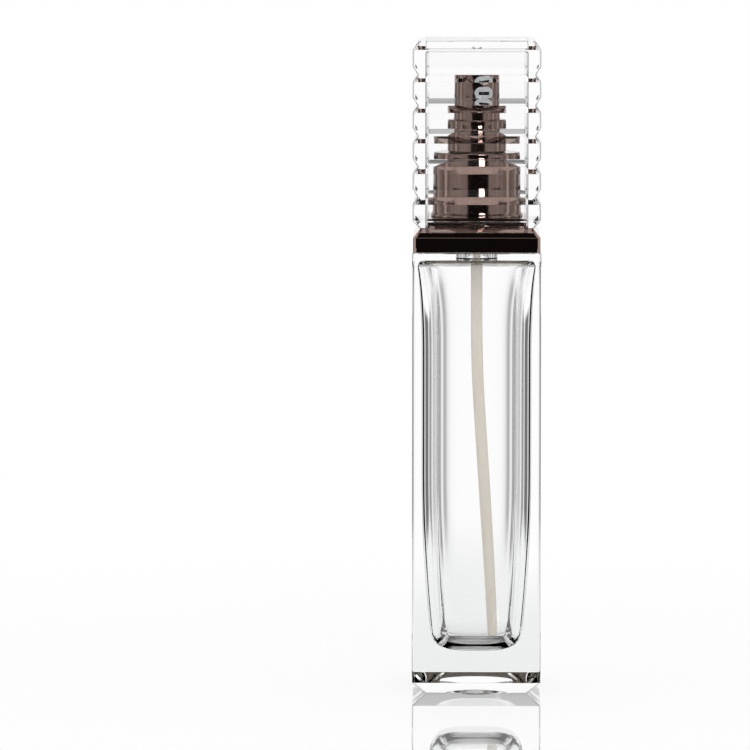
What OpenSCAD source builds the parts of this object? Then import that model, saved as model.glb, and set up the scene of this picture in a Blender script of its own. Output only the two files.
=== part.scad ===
// Aftershave bottle: square heavy-base glass, a screw-on spray pump and a clear ribbed cap.
// Millimetres. The origin is the centre of the base, +Z is up and the front faces -Y.

/* [Glass bottle] */
// Width of the square glass body
bottle_w = 33; // [31:0.5:44]
// Height of the glass shoulder above the table
bottle_h = 113.5; // [85:0.5:150]
// Radius of the upright glass edges
glass_edge_r = 0.8; // [0.3:0.1:1.5]
// Width of the bevel round the base
base_bevel_w = 3.15; // [1:0.05:4]
// Height of the bevel round the base
base_bevel_h = 2.95; // [1:0.05:4]
// Thickness of the side walls
wall_t = 2.4; // [2:0.05:3.5]
// Thickness of the walls where they flare into the shoulder
shoulder_wall_t = 1.2; // [1:0.1:2]
// Thickness of the shoulder
shoulder_t = 2; // [1.5:0.1:3.5]
// Thickness of the heavy base
base_t = 10.4; // [7:0.1:16]
// Radius of the cavity's upright corners
cavity_corner_r = 6.2; // [2.5:0.1:7]
// Radius of the cavity's corners at the shoulder
shoulder_corner_r = 1; // [0.5:0.1:2]
// Height over which the cavity widens towards the shoulder
flare_h = 24; // [12:0.5:32]
// Height over which the cavity's corners narrow towards the shoulder
corner_h = 16; // [6:0.5:20]
// Radius of the curve between the cavity's walls and the shoulder
ceiling_r = 2; // [0.5:0.1:3]
// Radius of the curve between the cavity's floor and walls
floor_r = 5.5; // [3:0.5:7]
// How much thicker the walls get just above the base
taper = 2; // [0.5:0.05:2.5]
// Height over which the walls get thicker
taper_h = 40; // [15:0.5:50]
// Diameter of the shallow recess under the base
recess_d = 20; // [12:0.5:21]
// Depth of the shallow recess under the base
recess_h = 2.4; // [0.3:0.1:3]
// How much the recess narrows towards its roof, on each side
recess_draft = 0.4; // [0:0.1:1]

/* [Glass neck] */
// Diameter over the neck's screw thread
thread_d = 17.7; // [17:0.1:18.2]
// Diameter of the neck between the threads
neck_d = 15.8; // [15.2:0.1:16.2]
// Diameter of the neck's bore
neck_bore_d = 10.6; // [10:0.1:11]
// Height of the neck above the shoulder
neck_h = 19.5; // [19.3:0.1:24]
// Rise of the thread in one turn
thread_pitch = 3.175; // [2.8:0.025:3.4]
// Turns of thread on the glass
glass_turns = 1.5; // [1:0.25:1.75]
// Turns of thread in the closure
liner_turns = 1.25; // [1:0.25:1.5]
// Distance from the rim down to the thread's top end
thread_drop = 3.1; // [2.5:0.1:4]

/* [Collar plate] */
// How far the collar plate stands in from the sides of the glass
collar_inset = 0.25; // [0.1:0.05:1]
// Height of the collar's upright sides
collar_side_h = 3.85; // [2.5:0.05:5]
// Width of the collar's top bevel
collar_bevel_w = 1.85; // [1:0.05:2.3]
// Height of the collar's top bevel
collar_bevel_h = 2.4; // [1.5:0.1:3]
// Corner radius of the collar plate
collar_edge_r = 0.9; // [0.4:0.1:1.5]
// Height of the step that locates the cap
step_h = 2.35; // [1.8:0.05:3]
// Length of the snap bump on each side of the step
bump_l = 6.6; // [4:0.1:9]
// Height of the snap bump
bump_h = 0.9; // [0.5:0.1:1.2]
// How far the snap bump stands out
bump_out = 0.17; // [0.1:0.01:0.18]

/* [Cap] */
// How far the cap stands in from the sides of the glass
cap_inset = 0.15; // [0.05:0.05:0.6]
// Height of the cap
cap_h = 47.7; // [43:0.1:56]
// Thickness of the cap's walls
cap_wall_t = 3.2; // [2.8:0.1:3.8]
// Thickness of the cap's top
cap_top_t = 2.7; // [1.8:0.1:3.4]
// Number of grooves round the cap
groove_count = 5; // [2:1:6]
// Distance from the cap's top to the first groove
groove_start = 8.56; // [7:0.02:9]
// Distance from the cap's foot to the last groove
groove_foot = 7.94; // [6:0.02:9]
// Depth of a groove
groove_d = 1.2; // [0.6:0.1:1.5]
// Height of a groove at the surface
groove_h = 3.8; // [2:0.1:4.4]
// Width of the bevels at the cap's two ends
cap_bevel_w = 1.54; // [0.8:0.02:1.9]
// Height of the cap's top bevel
cap_top_bevel_h = 2.25; // [1:0.05:3]
// Height of the cap's bottom bevel
cap_foot_bevel_h = 1.9; // [1:0.05:3]
// Radius of the cap's upright edges
cap_edge_r = 0.7; // [0.3:0.1:1.2]
// Radius of the upright corners inside the cap
cap_inner_r = 1; // [0.4:0.1:1.5]
// Diameter of the moulding mark on the cap's top
gate_d = 2.4; // [1:0.1:4]
// Depth of the moulding mark
gate_h = 0.2; // [0.1:0.05:0.5]

/* [Closure] */
// Diameter of the plated ferrule at its top
ferrule_top_d = 22.15; // [21.9:0.05:22.6]
// Diameter of the plated ferrule above its foot
ferrule_low_d = 22.85; // [22.6:0.05:23.2]
// Diameter of the ferrule's flared foot
foot_d = 23.7; // [23.2:0.1:24.4]
// Height of the ferrule's flared foot
foot_h = 1.3; // [0.8:0.1:2]
// Thickness of the plated shells
shell_t = 0.5; // [0.4:0.05:0.6]
// Radius of the ferrule's top edge
ferrule_fillet_r = 0.4; // [0.2:0.05:0.45]
// Thickness of the threaded liner's roof
liner_roof_t = 1.63; // [1.2:0.05:2.2]

/* [Turret] */
// Diameter of the plated turret sleeve
turret_d = 15.1; // [14.9:0.05:15.6]
// Height of the plated turret sleeve
turret_h = 8.3; // [8.2:0.1:10]
// Radius of the turret's top edge
turret_fillet_r = 0.5; // [0.3:0.05:0.6]
// Thickness of the turret sleeve
turret_t = 0.6; // [0.5:0.05:0.7]
// Thickness of the web that guides the stem
web_t = 1.8; // [1.2:0.1:2]
// Thickness of the guide's clamped flange
guide_flange_t = 1.1; // [0.8:0.1:1.6]

/* [Actuator] */
// Diameter of the actuator at its top
actuator_top_d = 11.5; // [11.2:0.1:11.7]
// Diameter of the actuator at its skirt
actuator_low_d = 11.9; // [11.7:0.05:12]
// How far the actuator stands above the turret
actuator_reach = 9.9; // [9:0.1:11]
// How far the actuator's skirt sits in the turret at rest
actuator_sunk = 1; // [0.6:0.1:1.4]
// Travel of the actuator when it is pressed
stroke = 5; // [3:0.1:5]
// Depth of the finger dish
dish_h = 1.3; // [0.8:0.1:1.6]
// Radius of the dish's rim
dish_r = 5.2; // [4.6:0.1:5.3]
// Thickness of the shell's roof at the middle of the dish
dish_t = 0.75; // [0.6:0.05:1]
// Depth of the notch in the rim above the nozzle
notch_h = 0.9; // [0.5:0.1:1]
// Radius of the notch in the rim
notch_r = 2; // [1.5:0.1:3]
// Angle by which the actuator stands turned from the front towards +X
nozzle_turn = 18.5; // [-45:0.5:45]
// Distance from the rim down to the nozzle's centre
nozzle_drop = 3.1; // [3.05:0.05:3.4]
// Width of the oval nozzle insert
nozzle_w = 4.85; // [4.2:0.05:5.2]
// Height of the oval nozzle insert
nozzle_h = 3.4; // [3:0.1:3.4]
// Width of the slot in the nozzle's face
slot_w = 2.8; // [1.6:0.1:3]
// Height of the slot in the nozzle's face
slot_h = 0.83; // [0.5:0.01:1.1]
// Depth of the slot in the nozzle's face
slot_t = 0.6; // [0.3:0.1:0.8]
// Diameter of the spray orifice
orifice_d = 0.4; // [0.3:0.05:0.6]

/* [Pump] */
// Outer diameter of the pump housing
housing_d = 9; // [8.6:0.1:9.6]
// Diameter of the pump housing's cylinder
cylinder_d = 6.2; // [6:0.1:6.6]
// Depth of the pump housing's cylinder
cylinder_h = 17; // [16.5:0.1:18]
// Diameter of the pump housing's upper collar
housing_collar_d = 10.4; // [10:0.1:10.8]
// Diameter of the flange that rests on the neck
flange_d = 15.6; // [15:0.1:16]
// Thickness of the flange that rests on the neck
flange_t = 1.2; // [0.8:0.1:1.5]
// Thickness of the neck gasket
gasket_t = 1; // [0.8:0.1:1.5]
// Thickness of the stem gasket
stem_gasket_t = 1; // [0.7:0.1:1.2]
// Diameter of the hollow stem
stem_d = 4; // [3.8:0.1:4.2]
// Diameter of the stem's bore
stem_bore_d = 2; // [1.8:0.1:2.2]
// Length of the stem inside the actuator
stem_insert = 4.1; // [3:0.1:4.4]
// Height of the piston
piston_h = 4.25; // [3.5:0.05:4.5]
// Diameter of the inlet ball
ball_d = 2.5; // [2.2:0.1:2.6]
// How far the inlet ball lifts off its seat
ball_lift = 0.8; // [0.4:0.05:1]
// Diameter of the spring's wire
wire_d = 0.5; // [0.4:0.05:0.6]
// Mean diameter of the spring
spring_d = 4.5; // [4.3:0.1:4.8]
// Number of turns in the spring
spring_turns = 7; // [5:1:7]

/* [Dip tube] */
// Outer diameter of the dip tube
tube_d = 3; // [2.6:0.1:3.2]
// Inner diameter of the dip tube
tube_bore_d = 1.8; // [1.4:0.1:2]
// Length of the dip tube that sits in the housing
tube_socket = 3.4; // [2.5:0.1:3.6]
// Height of the tube's open end above the cavity's floor
tube_end_gap = 1.8; // [1:0.1:4]
// Length of tube that hangs straight below the shoulder
tube_straight = 18; // [10:0.5:25]
// Radius of the tube's bend
tube_bend_r = 350; // [250:10:500]
// Angle of the tube's bend
tube_tilt = 3.7; // [2:0.1:4.5]

/* [Clearances] */
// Gap between pieces pressed together
press_gap = 0.02; // [0.01:0.01:0.03]
// Gap between a plated shell and what it covers
skin_gap = 0.05; // [0.03:0.01:0.08]
// Radial gap between pieces that slide or turn on each other
run_gap = 0.05; // [0.03:0.01:0.08]
// Gap between pieces that rest on each other and move apart
seat_gap = 0.05; // [0.02:0.01:0.1]
// Gap between the cap's walls and the locating step
cap_gap = 0.2; // [0.19:0.01:0.3]
// Radial gap between the actuator's skirt and the turret
skirt_gap = 0.2; // [0.12:0.01:0.25]
// Gap left under the actuator when it is fully pressed
stroke_gap = 0.5; // [0.3:0.1:0.8]
// Gap between the closure and the collar plate
foot_gap = 0.1; // [0.05:0.05:0.3]
// Gap between the turret sleeve and the ferrule below it
turret_gap = 0.1; // [0.05:0.05:0.2]
// Radial gap between the closure's roof and the turret's guide
guide_gap = 0.15; // [0.1:0.01:0.2]
// Radial gap at the screw thread's crests and at the neck's foot
thread_gap = 0.15; // [0.1:0.01:0.2]
// Gap between the flanks of the two threads
flank_gap = 0.15; // [0.1:0.01:0.25]

/* [Hidden] */

$fn = 96;
cut = 0.5; // how far a cutting tool runs past the face it opens
sink = 0.2; // how far a thread's or a bump's root sinks into the wall that carries it
corner_steps = 6; // facets in a quarter turn of the cavity's corners
thread_steps = 24; // facets in a turn of thread
wire_steps = 16; // facets in a turn of the spring
wire_sides = 6; // facets round the spring's wire
tube_sides = 16; // facets round the dip tube
bend_steps = 6; // facets along the dip tube's bend

// Widths that follow the glass
collar_w = bottle_w - 2 * collar_inset;
cap_w = bottle_w - 2 * cap_inset;
cap_cavity_w = cap_w - 2 * cap_wall_t;
step_w = cap_cavity_w - 2 * cap_gap;

// Heights of the collar and of the neck
collar_bevel_z = bottle_h + collar_side_h;
ledge_z = collar_bevel_z + collar_bevel_h;
step_z = ledge_z + step_h;
rim_z = bottle_h + neck_h;

// Heights of the clamped stack, from the rim of the neck up to the ferrule's top
gasket_z = rim_z + seat_gap;
flange_z = gasket_z + gasket_t;
guide_z = flange_z + flange_t;
liner_roof_z = guide_z + guide_flange_t + seat_gap;
ferrule_z = step_z + foot_gap;
ferrule_top_z = liner_roof_z + liner_roof_t + skin_gap + shell_t;

// Heights of the turret and of the actuator
turret_z = ferrule_top_z + turret_gap;
turret_top_z = turret_z + turret_h;
skirt_z = turret_top_z - actuator_sunk;
actuator_top_z = turret_top_z + actuator_reach;
shell_roof_z = actuator_top_z - dish_h - dish_t;
pocket_z = skirt_z - stroke - stroke_gap;
nozzle_z = actuator_top_z - nozzle_drop;

// Heights inside the pump
web_z = pocket_z - web_t;
housing_top_z = web_z - stem_gasket_t;
stem_top_z = skirt_z + stem_insert;
shoulder_h = 1; // thickness of the stem's shoulder and of the plunger's flange
shoulder_z = housing_top_z - seat_gap - shoulder_h;
piston_z = shoulder_z - run_gap - piston_h;
plunger_z = piston_z - run_gap - shoulder_h;
spring_z = housing_top_z - cylinder_h;
plunger_tail = 4.5; // length of the pin inside the spring
spigot_h = 2.4; // length of the plunger's pin inside the stem

// The ball chamber: a 45 degree seat, the lift and a lip that keeps the ball in
lip_t = 0.4; // thickness of the lip
lip_hold = 0.1; // how far the lip reaches over the ball
ball_play = 0.35; // gap round the ball
inlet_d = 1.4; // diameter of the inlet below the seat
inlet_wall = 1; // wall between the seat and the tube's socket
tail_wall = 1; // wall round the ball chamber
lip_d = ball_d - 2 * lip_hold;
chamber_d = ball_d + 2 * ball_play;
ball_z = spring_z - lip_t - seat_gap - ball_lift - ball_d / 2;
seat_apex_z = ball_z - sqrt(2) * (ball_d / 2 + press_gap);
inlet_z = seat_apex_z + inlet_d / 2;
socket_z = inlet_z - inlet_wall;
housing_z = socket_z - tube_socket;
tail_d = chamber_d + 2 * tail_wall;

// Radii of the turret, of the closure and of the actuator
guide_r = turret_d / 2 - turret_t - skin_gap;
guide_hole_r = guide_r + guide_gap;
pocket_r = actuator_low_d / 2 + skirt_gap;
liner_bore_r = thread_d / 2 + thread_gap;
shoulder_play = 0.4; // gap between the stem's shoulder and the cylinder
stem_shoulder_r = cylinder_d / 2 - shoulder_play;
dish_sphere_r = (dish_r * dish_r + dish_h * dish_h) / (2 * dish_h);

// The cavity of the bottle
cavity_half = bottle_w / 2 - wall_t;
cavity_top_z = bottle_h - shoulder_t;
flare = wall_t - shoulder_wall_t;
ceiling_z = cavity_top_z - ceiling_r;
corner_z = cavity_top_z - corner_h;
flare_z = cavity_top_z - flare_h;
taper_z = base_t + floor_r;
taper_top_z = taper_z + taper_h;

// The two matching threads: widths along the axis at the root and at the crest
thread_root_w = 2;
thread_crest_w = 0.8;
liner_root_w = 1.2;
liner_crest_w = 0.5;
crest_gap = 0.25; // gap between the closure's thread and the neck
crest_trim = 0.02; // how far a thread's crest stays under the seat's radius
liner_crest_r = neck_d / 2 + crest_gap;
thread_z = rim_z - thread_drop - glass_turns * thread_pitch;
liner_thread_z = thread_z - (thread_crest_w + liner_root_w) / 2 - flank_gap;

// The nozzle insert: an oval head in the shell and a round plug in the core
head_t = 1.1; // depth of the head at the middle
plug_d = 3.2;
plug_h = 1.6;
post_d = 1.9; // diameter of the swirl post inside the plug
swirl_h = 0.3; // depth of the swirl chamber in front of the post
channel_d = 0.6; // diameter of the channel beside the post
nozzle_out = 0.08; // how far the insert stands out of the shell
nozzle_wall = 1.2; // wall between the insert's pocket and the space under it
head_y = head_t - actuator_top_d / 2;

// The cap and its grooves
cap_z = ledge_z + seat_gap;
groove_pitch = (cap_h - groove_start - groove_foot) / (groove_count - 1);

// ---------------------------------------------------------------- shared shapes

// A square with true round corners, centred on the origin
module rounded_square(w, r) {
    square([w - 2 * r, w], center = true);
    square([w, w - 2 * r], center = true);
    for (x = [-1, 1], y = [-1, 1])
        translate([x * (w / 2 - r), y * (w / 2 - r)])
            circle(r = r);
}

// A square body whose four sides all follow one outline of [half width, height] points
module square_body(outline, w, edge_r) {
    side = concat(outline, [for (i = [len(outline) - 1 : -1 : 0]) [-outline[i][0], outline[i][1]]]);
    intersection() {
        rotate([90, 0, 0])
            linear_extrude(height = w + 2 * cut, center = true)
                polygon(side);
        rotate([90, 0, 90])
            linear_extrude(height = w + 2 * cut, center = true)
                polygon(side);
        linear_extrude(height = outline[len(outline) - 1][1] + cut)
            rounded_square(w, edge_r);
    }
}

// A ring between two radii, standing on height z
module ring(r_out, r_in, z, h) {
    translate([0, 0, z])
        difference() {
            cylinder(r = r_out, h = h);
            translate([0, 0, -cut])
                cylinder(r = r_in, h = h + 2 * cut);
        }
}

// A plain bore along Z
module bore(r, z, h) {
    translate([0, 0, z])
        cylinder(r = r, h = h);
}

// A turned sleeve with a drafted side, a rounded top edge and a flat roof with a hole
module drafted_shell(r_low, r_top, h, t, fillet, hole_r) {
    rotate_extrude() {
        difference() {
            union() {
                polygon([[0, 0], [r_low, 0], [r_top, h - fillet], [0, h - fillet]]);
                square([r_top - fillet, h]);
                translate([r_top - fillet, h - fillet])
                    circle(r = fillet);
            }
            polygon([[0, -cut], [r_low - t, -cut], [r_low - t, 0], [r_top - t, h - t], [0, h - t]]);
            translate([0, -cut])
                square([hole_r, h + 2 * cut]);
        }
    }
}

// An oval with its length along X
module oval(w, h) {
    square([w - h, h], center = true);
    for (x = [-1, 1])
        translate([x * (w - h) / 2, 0])
            circle(d = h);
}

// Something drawn flat in X and Z, pushed from y_front back to y_back
module push_back(y_front, y_back) {
    translate([0, y_back, nozzle_z])
        rotate([90, 0, 0])
            linear_extrude(height = y_back - y_front)
                children();
}

// A tube swept through a list of rings of points, with flat ends
module sweep(rings) {
    n = len(rings[0]);
    last = len(rings) - 1;
    sides = [for (i = [0 : last - 1], j = [0 : n - 1])
        [i * n + j, (i + 1) * n + j, (i + 1) * n + (j + 1) % n, i * n + (j + 1) % n]];
    polyhedron(
        points = [for (r = rings) each r],
        faces = concat([[for (j = [0 : n - 1]) j]], sides, [[for (j = [n - 1 : -1 : 0]) last * n + j]]),
        convexity = 10
    );
}

// A right-handed thread: its root is sunk into the wall, and its two ends fade into it
module thread(root_r, crest_r, root_w, crest_w, z, turns) {
    steps = round(turns * thread_steps);
    fade = thread_steps / 8;
    out = crest_r > root_r ? 1 : -1;
    low_r = root_r - out * sink;
    function crest(i) = root_r + (crest_r - root_r) * min(1, i / fade, (steps - i) / fade) - out * crest_trim;
    function spot(r, a, h) = [r * cos(a), r * sin(a), z + thread_pitch * a / 360 + h];
    function section(i) = let (a = 360 * i / thread_steps, c = crest(i)) [
        spot(low_r, a, -root_w / 2),
        spot(low_r, a, root_w / 2),
        spot(c, a, crest_w / 2),
        spot(c, a, -crest_w / 2)
    ];
    rings = [for (i = [0 : steps]) out > 0 ? section(i) : [for (j = [3 : -1 : 0]) section(i)[j]]];
    sweep(rings);
}

// ---------------------------------------------------------------- glass bottle

// Half width and corner radius of the cavity at height z
function curve(r, reach) = r - sqrt(max(0, r * r - reach * reach));
function taper_at(z) = taper * pow(min(1, max(0, (taper_top_z - z) / taper_h)), 2);
function flare_at(z) = flare * pow(max(0, (z - flare_z) / flare_h), 2);
function half_at(z) = cavity_half + flare_at(z) - taper_at(z)
    - curve(floor_r, max(0, taper_z - z)) - curve(ceiling_r, max(0, z - ceiling_z));
function corner_at(z) = cavity_corner_r - curve(1, max(0, z - corner_z) / corner_h)
    * (cavity_corner_r - shoulder_corner_r);

// Outline of the cavity at height z
function cavity_ring(z) = let (h = half_at(z), r = corner_at(z)) [
    for (q = [0 : 3], i = [0 : corner_steps])
        let (a = 90 * (q + i / corner_steps), x = q == 0 || q == 3 ? 1 : -1, y = q < 2 ? 1 : -1)
        [x * (h - r) + r * cos(a), y * (h - r) + r * sin(a), z]
];

// Heights from one to another in equal steps, without the last one
function even_steps(low, high, n) = [for (i = [0 : n - 1]) low + (high - low) * i / n];

module cavity() {
    low_z = max(flare_z, taper_top_z + cut);
    sweep([for (z = concat(
        [for (a = [0 : 15 : 75]) taper_z - floor_r * cos(a)],
        even_steps(taper_z, taper_top_z, 4),
        [taper_top_z],
        even_steps(low_z, corner_z, 3),
        even_steps(corner_z, ceiling_z, 5),
        [for (a = [0 : 15 : 90]) ceiling_z + ceiling_r * sin(a)]
    )) cavity_ring(z)]);
}

module glass_bottle() {
    half = bottle_w / 2;
    body = [[half - base_bevel_w, 0], [half, base_bevel_h], [half, bottle_h]];
    color("lightcyan", 0.4)
        difference() {
            union() {
                square_body(body, bottle_w, glass_edge_r);
                bore(thread_d / 2, bottle_h - shoulder_t / 2, step_z - bottle_h + shoulder_t / 2);
                bore(neck_d / 2, bottle_h, neck_h);
                thread(neck_d / 2, thread_d / 2, thread_root_w, thread_crest_w, thread_z, glass_turns);
            }
            cavity();
            bore(neck_bore_d / 2, cavity_top_z - cut, neck_h + shoulder_t + 2 * cut);
            bore(recess_d / 2, -cut, cut);
            cylinder(d1 = recess_d, d2 = recess_d - 2 * recess_draft, h = recess_h);
        }
}

// ---------------------------------------------------------------- collar plate

module snap_bump() {
    translate([0, sink - step_w / 2, (ledge_z + step_z) / 2])
        rotate([90, 0, 0])
            linear_extrude(height = sink + bump_out)
                oval(bump_l, bump_h);
}

module collar_plate() {
    half = collar_w / 2;
    plate = [[half, bottle_h], [half, collar_bevel_z], [half - collar_bevel_w, ledge_z]];
    color("dimgray")
        difference() {
            union() {
                square_body(plate, collar_w, collar_edge_r);
                translate([0, 0, ledge_z - cut])
                    linear_extrude(height = step_h + cut)
                        rounded_square(step_w, collar_edge_r);
                for (a = [0, 90, 180, 270])
                    rotate([0, 0, a])
                        snap_bump();
            }
            bore(liner_bore_r, bottle_h - cut, step_z - bottle_h + 2 * cut);
        }
}

// ---------------------------------------------------------------- pump core

module neck_gasket() {
    color("gainsboro")
        ring(flange_d / 2, housing_d / 2 + run_gap, gasket_z, gasket_t);
}

module pump_housing() {
    floor_t = 0.8;
    vent_d = 0.8;
    vent_drop = 2; // distance of the air vent below the flange
    color("ivory")
        difference() {
            union() {
                bore(housing_d / 2, spring_z - floor_t, flange_z - spring_z + floor_t + flange_t / 2);
                bore(flange_d / 2, flange_z, flange_t);
                bore(housing_collar_d / 2, flange_z, housing_top_z - flange_z);
                bore(tail_d / 2, housing_z, spring_z - housing_z);
            }
            bore(cylinder_d / 2, spring_z, cylinder_h + cut);
            bore(lip_d / 2, ball_z, spring_z - ball_z + cut);
            bore(chamber_d / 2, seat_apex_z + chamber_d / 2, spring_z - lip_t - seat_apex_z - chamber_d / 2);
            translate([0, 0, inlet_z])
                cylinder(r1 = inlet_d / 2, r2 = chamber_d / 2, h = (chamber_d - inlet_d) / 2);
            bore(inlet_d / 2, socket_z - cut, inlet_z - socket_z + 2 * cut);
            bore(tube_d / 2 + press_gap, housing_z - cut, tube_socket + cut);
            translate([0, 0, flange_z - vent_drop])
                rotate([0, 90, 0])
                    cylinder(d = vent_d, h = housing_d / 2 + cut);
        }
}

module inlet_ball() {
    color("silver")
        translate([0, 0, ball_z])
            sphere(d = ball_d);
}

module stem_gasket() {
    color("gainsboro")
        ring(housing_collar_d / 2, stem_d / 2 + run_gap, housing_top_z, stem_gasket_t);
}

// The inner part of the turret: it caps the housing, guides the stem and carries the plated sleeve
module stem_guide() {
    color("whitesmoke")
        difference() {
            union() {
                bore(flange_d / 2, guide_z, guide_flange_t);
                bore(guide_r, guide_z, turret_top_z - turret_t - skin_gap - guide_z);
            }
            bore(housing_collar_d / 2 + press_gap, guide_z - cut, web_z - guide_z + cut);
            bore(stem_d / 2 + 2 * run_gap, web_z - cut, web_t + 2 * cut);
            bore(pocket_r, pocket_z, turret_top_z - pocket_z);
        }
}

module turret_sleeve() {
    color("dimgray")
        translate([0, 0, turret_z])
            drafted_shell(turret_d / 2, turret_d / 2, turret_h, turret_t, turret_fillet_r, pocket_r);
}

// Height of the spring's centre line after the given number of turns, the first and the last closed
function spring_turn_z(t) = let (closed = wire_d + 2 * press_gap,
    open = (plunger_z - spring_z - wire_d - 2 * press_gap - 2 * closed) / (spring_turns - 2))
    spring_z + press_gap + wire_d / 2
        + closed * min(t, 1) + open * max(0, min(t - 1, spring_turns - 2))
        + closed * max(0, t - spring_turns + 1);

module return_spring() {
    color("silver")
        sweep([for (i = [0 : spring_turns * wire_steps])
            let (a = 360 * i / wire_steps, z = spring_turn_z(i / wire_steps))
            [for (j = [0 : wire_sides - 1])
                let (b = 360 * j / wire_sides, r = spring_d / 2 + wire_d / 2 * cos(b))
                [r * cos(a), r * sin(a), z - wire_d / 2 * sin(b)]]]);
}

// ---------------------------------------------------------------- plunger

module valve_plunger() {
    pin_d = 2.2;
    color("ivory") {
        bore(stem_shoulder_r, plunger_z, shoulder_h);
        bore(pin_d / 2, plunger_z - plunger_tail, plunger_tail + shoulder_h / 2);
        bore(stem_bore_d / 2 - run_gap, plunger_z + shoulder_h / 2, spigot_h + shoulder_h / 2);
    }
}

module piston() {
    lip_h = 0.7; // height of each sealing lip
    waist = 0.3; // how far the piston is relieved between its lips
    lip_r = cylinder_d / 2 - run_gap;
    color("honeydew")
        difference() {
            ring(lip_r, stem_d / 2 + run_gap, piston_z, piston_h);
            ring(lip_r + cut, lip_r - waist, piston_z + lip_h, piston_h - 2 * lip_h);
        }
}

// ---------------------------------------------------------------- closure

module ferrule() {
    h = ferrule_top_z - ferrule_z;
    low_r = ferrule_low_d / 2;
    color("dimgray")
        translate([0, 0, ferrule_z]) {
            drafted_shell(low_r, ferrule_top_d / 2, h, shell_t, ferrule_fillet_r, guide_hole_r);
            rotate_extrude()
                polygon([
                    [low_r - shell_t / 2, 0], [foot_d / 2, 0], [foot_d / 2, foot_h / 4],
                    [(low_r + foot_d / 2) / 2, foot_h / 2], [low_r - shell_t / 8, foot_h],
                    [low_r - shell_t / 2, foot_h]
                ]);
        }
}

module threaded_liner() {
    lift = 0.3; // how far the liner stops above the ferrule's foot
    h = ferrule_top_z - shell_t - skin_gap - ferrule_z;
    draft = (ferrule_low_d - ferrule_top_d) / 2 / (ferrule_top_z - ferrule_z);
    low_r = ferrule_low_d / 2 - shell_t - skin_gap;
    color("whitesmoke")
        difference() {
            union() {
                difference() {
                    translate([0, 0, ferrule_z + lift])
                        cylinder(r1 = low_r - lift * draft, r2 = low_r - h * draft, h = h - lift);
                    bore(liner_bore_r, ferrule_z, liner_roof_z - ferrule_z);
                }
                thread(liner_bore_r, liner_crest_r, liner_root_w, liner_crest_w, liner_thread_z, liner_turns);
            }
            bore(guide_hole_r, liner_roof_z - cut, liner_roof_t + 2 * cut);
        }
}

// ---------------------------------------------------------------- actuator

module stem() {
    port_d = 0.9;
    port_z = piston_z + piston_h - port_d;
    color("ivory")
        difference() {
            union() {
                bore(stem_d / 2, piston_z + run_gap, stem_top_z - piston_z - run_gap);
                bore(stem_shoulder_r, shoulder_z, shoulder_h);
            }
            bore(stem_bore_d / 2, piston_z - cut, stem_top_z - piston_z + 2 * cut);
            translate([0, 0, port_z])
                rotate([90, 0, 0])
                    cylinder(d = port_d, h = stem_d + 2 * cut, center = true);
        }
}

// The finger dish with its notch towards the nozzle
module dish() {
    translate([0, 0, actuator_top_z - dish_h + dish_sphere_r])
        sphere(r = dish_sphere_r);
    translate([0, 0, actuator_top_z - notch_h + notch_r])
        rotate([90, 0, 0])
            cylinder(r = notch_r, h = actuator_low_d / 2 + cut);
}

// The actuator's outside, drafted, between two heights and shrunk by a wall
module actuator_body(z, top_z, t) {
    draft = (actuator_low_d - actuator_top_d) / 2 / (actuator_top_z - skirt_z);
    r = actuator_low_d / 2 - t;
    translate([0, 0, z])
        cylinder(r1 = r - (z - skirt_z) * draft, r2 = r - (top_z - skirt_z) * draft, h = top_z - z);
}

module actuator_shell() {
    edge = 0.25; // bevel of the outer top edge
    top_r = actuator_top_d / 2;
    color("dimgray")
        rotate([0, 0, nozzle_turn])
            difference() {
                rotate_extrude()
                    polygon([
                        [0, skirt_z], [actuator_low_d / 2, skirt_z], [top_r, actuator_top_z - edge],
                        [top_r - edge, actuator_top_z], [0, actuator_top_z]
                    ]);
                actuator_body(skirt_z - cut, shell_roof_z, shell_t);
                dish();
                push_back(-actuator_low_d, -actuator_low_d / 4)
                    oval(nozzle_w + 2 * press_gap, nozzle_h + 2 * press_gap);
            }
}

module actuator_core() {
    hub_r = 3.2;
    skirt_t = 0.9;
    void_z = nozzle_z - nozzle_h / 2 - nozzle_wall;
    top_z = shell_roof_z - skin_gap;
    color("whitesmoke")
        rotate([0, 0, nozzle_turn])
            difference() {
                actuator_body(skirt_z, top_z, shell_t + skin_gap);
                ring(actuator_top_d / 2 - shell_t - skirt_t, hub_r, skirt_z - cut, void_z - skirt_z + cut);
                bore(stem_d / 2 + press_gap, skirt_z - cut, stem_insert + press_gap + cut);
                bore(stem_bore_d / 2, skirt_z, nozzle_z - skirt_z);
                push_back(-actuator_low_d, head_y + press_gap)
                    oval(nozzle_w + 2 * press_gap, nozzle_h + 2 * press_gap);
                push_back(head_y - cut, head_y + plug_h + press_gap)
                    difference() {
                        circle(d = plug_d + 2 * press_gap);
                        circle(d = post_d);
                    }
                push_back(head_y + plug_h - cut, 0)
                    translate([0, -(plug_d + post_d) / 4])
                        circle(d = channel_d);
            }
}

module nozzle_insert() {
    color("white")
        rotate([0, 0, nozzle_turn])
            difference() {
                union() {
                    intersection() {
                        push_back(-actuator_low_d, head_y)
                            oval(nozzle_w, nozzle_h);
                        actuator_body(skirt_z, actuator_top_z, -nozzle_out);
                    }
                    push_back(head_y - cut / 2, head_y + plug_h)
                        circle(d = plug_d);
                }
                push_back(head_y - swirl_h, head_y + plug_h + cut)
                    circle(d = post_d + 2 * press_gap);
                push_back(-actuator_low_d, -actuator_top_d / 2 + slot_t)
                    square([slot_w, slot_h], center = true);
                push_back(-actuator_low_d, head_y)
                    circle(d = orifice_d);
            }
}

// ---------------------------------------------------------------- dip tube

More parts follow.
